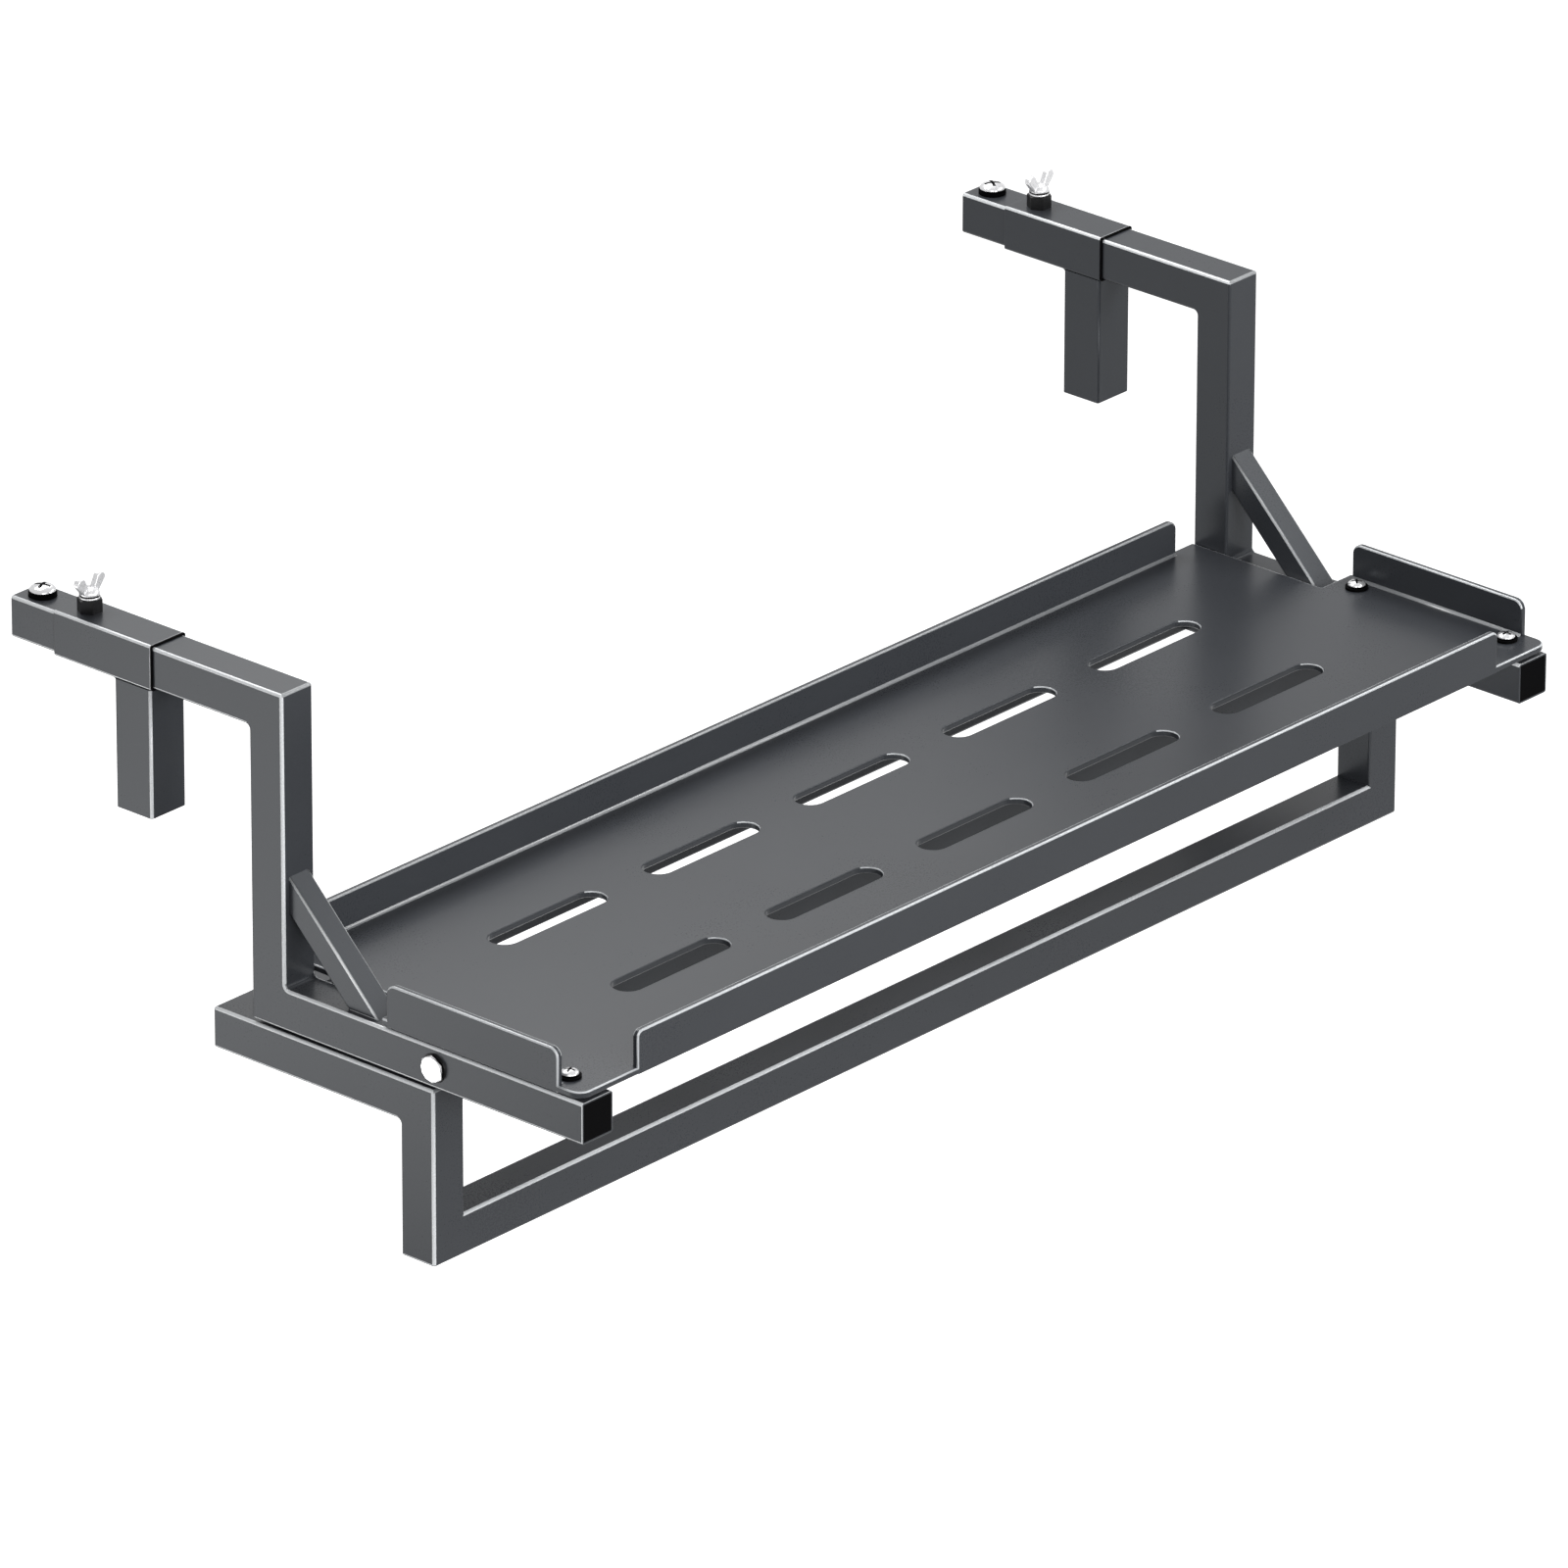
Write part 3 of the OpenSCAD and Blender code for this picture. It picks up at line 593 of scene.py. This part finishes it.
def hook_leg(x):
    """Square tube that hangs from the sleeve, with a weld bead behind it under the sleeve."""
    low, back = LEG_TOP - LEG_H, RAIL_GAP + SLEEVE
    bm = grid_solid((x - SLEEVE / 2, x + SLEEVE / 2), (RAIL_GAP, back), (low, LEG_TOP),
                    {(0, 0, 0)})
    upright = [e for e in sharp_edges(bm)
               if not on_plane(e, Z, low) and not on_plane(e, Z, LEG_TOP)]
    round_edges(bm, upright, SLEEVE_EDGE, 5)
    round_edges(bm, [e for e in sharp_edges(bm) if on_plane(e, Z, low)], SLEEVE_RIM, 2)
    hollow_mouth(bm, Z, low, 1, SLEEVE_WALL - SLEEVE_RIM)
    half, sink = SLEEVE / 2 - SLEEVE_EDGE, 0.3 * MM
    bead = [(back - sink, LEG_TOP + sink), (back - sink, LEG_TOP - FILLET)]
    bead += arc(back + FILLET, LEG_TOP - FILLET, FILLET, 180, 90, 6)
    bead += [(back + FILLET, LEG_TOP + sink)]
    prism(bm, bead, -half, half, lambda y, z, along: (x + along, y, z))
    return bm


def hook(side, name):
    x, body = side * ARM_X, name + "_hook"
    add_solid(name + "_hook_sleeve_coated", open_tube(x, RAIL_GAP, SLEEVE_L, SLEEVE_RIM),
              body, [name + "_hook_sleeve"])
    # The ring at the sleeve's front end is black plastic, and its black band is also painted shade
    # there
    add_solid(name + "_sleeve_ring_moulded_and_shade", open_tube(x, RAIL_GAP - RING_L, RING_L, RING_RIM),
              body, [name + "_sleeve_ring"], [BLACK_PLASTIC_AND_SHADE] * 4)
    add_solid(name + "_hook_leg_coated", hook_leg(x), body, [name + "_hook_leg"])


for side, name in SIDES:
    hook(side, name)


# ---------------------------------------------------------------- tray

# The tray has three materials: the third, a dimmer painted highlight, is for its bends
TRAY_BEND = 2


def tray_outline():
    """The plate's outline, anticlockwise; it keeps back where a lip takes over its edge."""
    keep, tuck, corner, small = 2 * MM, 1 * MM, 8 * MM, 1.5 * MM
    side_x, rear_x, lip_x = TRAY_W / 2, REAR_W / 2, LONG_LIP / 2 - tuck
    front, notch, back = -ARM_D, -ARM_D + CHEEK, 0.0
    lip_front, lip_back = SIDE_LIP_FRONT + tuck, SIDE_LIP_FRONT + SIDE_LIP_L - tuck
    right = [(lip_x, front + keep), (lip_x, front)]
    right += arc(side_x - corner, front + corner, corner, 270, 360)
    right += [(side_x, lip_front), (side_x - keep, lip_front),
              (side_x - keep, lip_back), (side_x, lip_back)]
    right += arc(side_x - small, notch - small, small, 0, 90, 4)
    right += [(rear_x + tuck, notch), (rear_x, notch + tuck)]
    right += arc(rear_x - small, back - small, small, 0, 90, 4)
    right += [(lip_x, back), (lip_x, back - keep)]
    return right + [(-x, y) for x, y in right[::-1]]


def tray_holes():
    """Two rows of five drain slots, and the holes of the four tray screws."""
    run, r = (SLOT_L - SLOT_W) / 2, SLOT_W / 2
    holes = []
    for y in SLOT_ROWS:
        for i in range(-2, 3):
            cx = i * SLOT_PITCH
            holes.append(arc(cx + run, y, r, -90, 90, 14) + arc(cx - run, y, r, 90, 270, 14))
    for x in (-ARM_X, ARM_X):
        for y in TRAY_SCREW_Y:
            holes.append(arc(x, y, 3.3 * MM, 0, 337.5, 15))
    return holes


def tray_lip(origin, angle, length, r):
    """Upright lip: u along it, v from its outer face inwards, w up from the tray's underside."""
    low = 0.02 * MM
    bm = bmesh.new()
    face = [(0, low), (length, low)]
    face += arc(length - r, LIP_H - r, r, 0, 90) + arc(r, LIP_H - r, r, 90, 180)
    prism(bm, face, 0, TRAY_T, lambda u, w, v: (u, v, w))
    bmesh.ops.recalc_face_normals(bm, faces=bm.faces)
    round_edges(bm, [e for e in sharp_edges(bm) if not on_plane(e, Z, low)], 1.0 * MM, 4)
    foot = [e for e in sharp_edges(bm) if on_plane(e, Z, low, 1e-5) and on_plane(e, Y, 0, 1e-5)]
    round_edges(bm, foot, 2.0 * MM, 5)
    # Inside bend between the lip and the plate, which carries a dimmer painted highlight
    b, top, behind = 1.5 * MM, TRAY_T - 0.03 * MM, TRAY_T - 0.5 * MM
    section = [(behind, top), (TRAY_T + b, top)]
    section += arc(TRAY_T + b, TRAY_T + b, b, 270, 180, 6)
    section += [(behind, TRAY_T + b)]
    inset = 0.6 * MM
    prism(bm, section, inset, length - inset, lambda v, w, u: (u, v, w), TRAY_BEND)
    bmesh.ops.recalc_face_normals(bm, faces=bm.faces)
    bm.transform(Matrix.Rotation(math.radians(angle), 4, "Z"))
    shift(bm, *origin)
    return bm


def tray():
    half, long_half = TRAY_W / 2, LONG_LIP / 2
    bm = rounded_plate(tray_outline(), tray_holes(), TRAY_BOTTOM, TRAY_BOTTOM + TRAY_T, 0.8 * MM)
    merge(bm, tray_lip((-long_half, -ARM_D, TRAY_BOTTOM), 0, LONG_LIP, 4 * MM))
    merge(bm, tray_lip((long_half, 0, TRAY_BOTTOM), 180, LONG_LIP, 6 * MM))
    merge(bm, tray_lip((-half, SIDE_LIP_FRONT + SIDE_LIP_L, TRAY_BOTTOM), -90, SIDE_LIP_L, 6 * MM))
    merge(bm, tray_lip((half, SIDE_LIP_FRONT, TRAY_BOTTOM), 90, SIDE_LIP_L, 6 * MM))
    bmesh.ops.recalc_face_normals(bm, faces=bm.faces)
    for f in bm.faces:
        f.smooth = f.material_index > 0
    # Painted highlights: upper rounded edges keep the lip highlight colour, and the slots'
    # right-end rims get a painted glint
    paint_edge_highlights(bm, across=RIM, slot_glints=True)
    # The back lip's upper edge gets a dimmer painted highlight than the front lip's
    for f in bm.faces:
        if f.material_index == RIM and f.normal.z > 0.1 and f.calc_center_median().y > -8 * MM:
            f.material_index = TRAY_BEND
    add_piece("tray_coated", bm, "table", ["tray"], (PAINT, PAINT_LIP_HIGHLIGHT, PAINT_DIM_HIGHLIGHT))


tray()


# ---------------------------------------------------------------- wing bolts

# Radius and height in mm: shank that passes the nut and the sleeve, then the hub with a groove
# above its foot, painted dark as shade
HUB = ((0, -8.5), (3.9, -8.5), (3.9, 0), (5.9, 0), (6.1, 0.4), (6.0, 1.2), (5.6, 1.4),
       (5.6, 1.9), (6.0, 2.2), (5.7, 3.6), (4.8, 5.0), (3.6, 5.7), (0, 5.9))
HUB_GROOVE = (1.2, 2.1)


def wing_blade(turn):
    """Rounded blade that leans outwards; turn is in degrees."""
    tip_r, half_t, root = 3.3 * MM, 1.9 * MM, 1.5 * MM
    outline = [(root, 1.6 * MM), (5.0 * MM, 1.8 * MM)]
    outline += arc(WING_SPAN / 2 - tip_r, WING_H - 3.35 * MM, tip_r, -20, 170, 10)
    outline += [(root, 5.0 * MM)]
    bm = bmesh.new()
    prism(bm, outline, -half_t, half_t, lambda x, z, y: (x, y, z))
    bmesh.ops.recalc_face_normals(bm, faces=bm.faces)
    round_edges(bm, sharp_edges(bm), 0.7 * MM, 3)
    bm.transform(Matrix.Rotation(math.radians(turn), 4, "Z"))
    return bm


def wing_bolt(side, name):
    bm = bmesh.new()
    lathe(bm, [(r * MM, h * MM) for r, h in HUB])
    # The groove is painted dark as shade
    for f in bm.faces:
        if HUB_GROOVE[0] * MM < f.calc_center_median().z < HUB_GROOVE[1] * MM:
            f.material_index = DARK
    for turn in (0, 180):
        merge(bm, wing_blade(turn))
    shift(bm, side * ARM_X, WING_Y, WING_SEAT + 0.05 * MM)
    add_solid(name + "_wing_bolt_plated", bm, name + "_wing", [name + "_wing_bolt"],
              (WINGS, WINGS, DARK_STEEL_AND_SHADE, WINGS))


for side, name in SIDES:
    wing_bolt(side, name)


# ---------------------------------------------------------------- screws and bolts

# Radius and height in mm, from the shank's end down through washer and head into the socket
FRAME_BOLT = ((0, 30), (3.9, 30), (3.9, 0), (7.7, 0), (8.0, -0.3), (8.0, -0.9), (7.7, -1.2),
              (6.4, -1.2), (6.3, -1.8), (5.4, -2.8), (4.0, -3.3), (2.6, -3.4), (2.5, -2.0),
              (0, -2.0))
FRAME_SOCKET_R, FRAME_SOCKET_Z = 2.56 * MM, -1.9 * MM


def side_bolt(side):
    """Flat hexagon head with blunt corners and a turned front, on a black collar; the head's sides
    are painted dark as a dark reflection.
    """
    bm = bmesh.new()
    r, high, front = SIDE_HEAD / math.sqrt(3), SIDE_HEAD_H, SIDE_HEAD / 2
    hexagon = [0.96 * r, math.cos(math.pi / 6) * r] * 6
    rings = [ring(bm, hexagon, h) for h in (-0.6 * MM, 0, high - 0.9 * MM)]
    rings += [ring(bm, [q] * 12, h) for q, h in (
        (front, high - 0.25 * MM), (front - 0.35 * MM, high),
        (front * 0.55, high), (front * 0.5, high - 0.1 * MM))]
    # The two lowest bands, the head's sides, are painted dark as a dark reflection
    for n, (a, b) in enumerate(zip(rings, rings[1:])):
        bridge(bm, a, b, DARK if n < 2 else FACE)
    bm.faces.new(rings[-1])
    bm.faces.new(rings[0][::-1])
    collar = bmesh.ops.create_cone(bm, cap_ends=True, segments=40, radius1=COLLAR / 2,
                                   radius2=COLLAR / 2 - 0.3 * MM, depth=COLLAR_H)["verts"]
    bmesh.ops.translate(bm, verts=collar, vec=(0, 0, -COLLAR_H / 2))
    for f in {f for v in collar for f in v.link_faces}:
        f.material_index = DARK
    bmesh.ops.recalc_face_normals(bm, faces=bm.faces)
    bm.transform(Matrix.Rotation(side * math.pi / 2, 4, "Y"))
    shift(bm, side * (SPAN / 2 + COLLAR_H), SIDE_BOLT_Y, BOTTOM + TUBE / 2)
    return bm


def side_bolts():
    bm = bmesh.new()
    for side, _ in SIDES:
        merge(bm, side_bolt(side))
    add_piece("side_bolts_plated", bm, "table", ["side_bolts", "side_washers"],
              (CHROME, CHROME, DARK_STEEL_AND_SHADE))


def frame_bolts():
    """Low button heads with a socket, on thin washers below the lower frame's side tubes."""
    bm = bmesh.new()
    for x in (-ARM_X, ARM_X):
        for y in FRAME_BOLT_Y:
            part = bmesh.new()
            lathe(part, [(r * MM, h * MM) for r, h in FRAME_BOLT], 36)
            # The socket's inside is painted black as shade
            for f in part.faces:
                c = f.calc_center_median()
                if c.z < FRAME_SOCKET_Z and math.hypot(c.x, c.y) < FRAME_SOCKET_R:
                    f.material_index = DARK
            bmesh.ops.recalc_face_normals(part, faces=part.faces)
            shift(part, x, y, FRAME_TOP - TUBE)
            merge(bm, part)
    for e in bm.edges:
        if len(e.link_faces) == 2 and e.calc_face_angle(0) > math.radians(35):
            e.smooth = False
    add_solid("frame_bolts_plated", bm, "table", ["frame_bolts", "frame_washers"],
              (ZINC, ZINC, BLACK_PLASTIC_AND_SHADE, ZINC))


def dome_screw(d, turn):
    """Pan head whose side band is painted dark as a dark reflection, with a cross recess painted
    black as shade; its underside is at height zero.
    """
    bm = bmesh.new()
    r, high = d / 2, d * 0.31

    def top(q):
        return 0.3 * high + 0.7 * high * math.sqrt(max(0.0, 1 - (q / r) ** 2))

    profile = [(0, -1 * MM), (0.45 * r, -1 * MM), (0.45 * r, 0), (0.97 * r, 0),
               (r, 0.03 * r), (r, 0.3 * high)]
    for a in range(78, 0, -12):
        q = r * math.sin(math.radians(a))
        profile.append((q, top(q)))
    lathe(bm, profile + [(0, high)])
    # The low side band is painted dark, as a painted dark reflection
    for f in bm.faces:
        if f.calc_center_median().z < 0.24 * high:
            f.material_index = DARK
    # The cross: two bars painted black as the recess's shade, that follow the dome and reach down
    # into it
    bar_l, bar_w, stations = 0.62 * r, 0.12 * r, 7
    for k in (0, 90):
        cos, sin = math.cos(math.radians(turn + k)), math.sin(math.radians(turn + k))
        rows = []
        for i in range(stations):
            u = -bar_l + 2 * bar_l * i / (stations - 1)
            row = []
            for w in (-bar_w, bar_w):
                x, y = u * cos - w * sin, u * sin + w * cos
                z = top(math.hypot(x, y))
                row += [bm.verts.new((x, y, z + 0.05 * MM)), bm.verts.new((x, y, z - 0.6 * MM))]
            rows.append([row[i] for i in (0, 2, 3, 1)])
        for a, b in zip(rows, rows[1:]):
            bridge(bm, a, b, DARK)
        for row in (rows[0], rows[-1]):
            bm.faces.new(row).material_index = DARK
    bmesh.ops.recalc_face_normals(bm, faces=bm.faces)
    return bm


def screws(node, places, seat, d):
    bm = bmesh.new()
    for i, (x, y) in enumerate(places):
        part = dome_screw(d, 20 + 37 * i)
        shift(part, x, y, seat)
        merge(bm, part)
    for f in bm.faces:
        f.smooth = f.material_index == RIM
    add_piece(node + "_plated", bm, "table", [node], (CHROME, CHROME, BLACK_PLASTIC_AND_SHADE))


side_bolts()
frame_bolts()
screws("tray_screws", [(x, y) for x in (-ARM_X, ARM_X) for y in TRAY_SCREW_Y],
       TRAY_BOTTOM + TRAY_T + 1.5 * MM, TRAY_SCREW_HEAD)
screws("stop_screws", [(x, STOP_SCREW_Y) for x in (-ARM_X, ARM_X)], TUBE + 2 * MM,
       STOP_SCREW_HEAD)


# ---------------------------------------------------------------- stage, lights and camera

FLOOR_Z = -0.95
FLOOR_FRONT = -0.7
FLOOR_REACH = 7.0
FLOOR_COLOUR = (0.86, 0.86, 0.86, 1)
WHITE = 1.0
SOFT_LIGHT = 0.05

# name: place, aim, width, height, watts
LAMPS = {
    "front_mid": ((0.089, -2.54, 0.441), (0, 0, -0.1), 1.8, 0.9, 39.6),
    "front_left": ((-1.33, -1.33, 0.584), (0, 0, -0.1), 0.9, 0.9, 14.8),
    "key_back": ((1, 1, 1.31), (0, 0, -0.1), 0.9, 0.9, 7.42),
    "top_back": ((0, 1, 1.63), (0, 0, -0.1), 0.9, 0.9, 24.9),
    "left_low_back": ((-1, 0.5, -0.4), (-0.4, 0, -0.1), 0.5, 0.5, 2.37),
    "edge_right": ((1, -0.75, 0.8), (0, -0.15, -0.15), 1.3, 0.5, 9.01),
}

# The photograph's camera: its place and axes were solved from the edges in the photo
CAMERA_PLACE = (-6.44395, -5.76570, 3.68592)
CAMERA_RIGHT = (0.665876, -0.746059, 0.002156)
CAMERA_DOWN = (-0.302749, -0.27285, -0.913179)
CAMERA_AHEAD = (0.681874, 0.607412, -0.407553)
CAMERA_LENS = 379.767
CAMERA_SENSOR = 36.0
CAMERA_REACH = 60.0


def seen_rays(nt):
    """1 for rays that show the background: camera, glossy and transmission rays."""
    rays = nt.nodes.new("ShaderNodeLightPath").outputs
    shown = calc(nt, "MAXIMUM", rays["Is Camera Ray"], rays["Is Glossy Ray"])
    return calc(nt, "MAXIMUM", shown, rays["Is Transmission Ray"])


def by_rays(nt, lit, seen):
    """A shader that is one thing as light and another for rays that show the background."""
    pick = nt.nodes.new("ShaderNodeMixShader")
    nt.links.new(seen_rays(nt), pick.inputs[0])
    nt.links.new(lit, pick.inputs[1])
    nt.links.new(seen, pick.inputs[2])
    return pick.outputs[0]


def white_floor():
    """Pale floor that keeps the object's shadow and looks white."""
    x, near, far, z = FLOOR_REACH, FLOOR_FRONT, FLOOR_REACH, FLOOR_Z
    me = bpy.data.meshes.new("floor")
    me.from_pydata([(-x, near, z), (x, near, z), (x, far, z), (-x, far, z)], [], [(0, 1, 2, 3)])
    floor = link_object("floor", me)
    mat = bpy.data.materials.new("floor_white")
    nt = empty_tree(mat)
    out = nt.nodes.new("ShaderNodeOutputMaterial")
    diffuse = nt.nodes.new("ShaderNodeBsdfDiffuse")
    diffuse.inputs["Color"].default_value = FLOOR_COLOUR
    glow = nt.nodes.new("ShaderNodeEmission")
    glow.inputs["Strength"].default_value = WHITE
    add = nt.nodes.new("ShaderNodeAddShader")
    nt.links.new(diffuse.outputs[0], add.inputs[0])
    nt.links.new(glow.outputs[0], add.inputs[1])
    nt.links.new(by_rays(nt, diffuse.outputs[0], add.outputs[0]), out.inputs["Surface"])
    me.materials.append(mat)


def studio_world():
    """Faint light all round, and white for rays that show the background."""
    world = bpy.data.worlds.new("studio")
    bpy.context.scene.world = world
    nt = empty_tree(world)
    out = nt.nodes.new("ShaderNodeOutputWorld")
    soft = nt.nodes.new("ShaderNodeBackground")
    soft.inputs["Strength"].default_value = SOFT_LIGHT
    white = nt.nodes.new("ShaderNodeBackground")
    white.inputs["Color"].default_value = (1, 1, 1, 1)
    white.inputs["Strength"].default_value = WHITE
    nt.links.new(by_rays(nt, soft.outputs[0], white.outputs[0]), out.inputs["Surface"])


def soft_lamp(name, place, aim, width, height, watts):
    data = bpy.data.lights.new(name, "AREA")
    data.shape = "RECTANGLE"
    data.size, data.size_y = width, height
    data.energy = watts
    lamp = link_object(name, data)
    lamp.location = place
    aim_line = Vector(aim) - Vector(place)
    lamp.rotation_euler = aim_line.to_track_quat("-Z", "Y").to_euler()
    lamp.visible_camera = False


white_floor()
studio_world()
for lamp_name, settings in LAMPS.items():
    soft_lamp(lamp_name, *settings)

cam_data = bpy.data.cameras.new("camera")
cam_data.sensor_fit = "HORIZONTAL"
cam_data.sensor_width = CAMERA_SENSOR
cam_data.lens = CAMERA_LENS
cam_data.clip_end = CAMERA_REACH
cam_data.dof.use_dof = False
camera = link_object("camera", cam_data)
axes = (Vector(CAMERA_RIGHT), -Vector(CAMERA_DOWN), -Vector(CAMERA_AHEAD))
turned = Matrix(axes).transposed().to_4x4()
camera.matrix_world = Matrix.Translation(Vector(CAMERA_PLACE)) @ turned
bpy.context.scene.camera = camera

bpy.context.scene.view_settings.view_transform = "Standard"
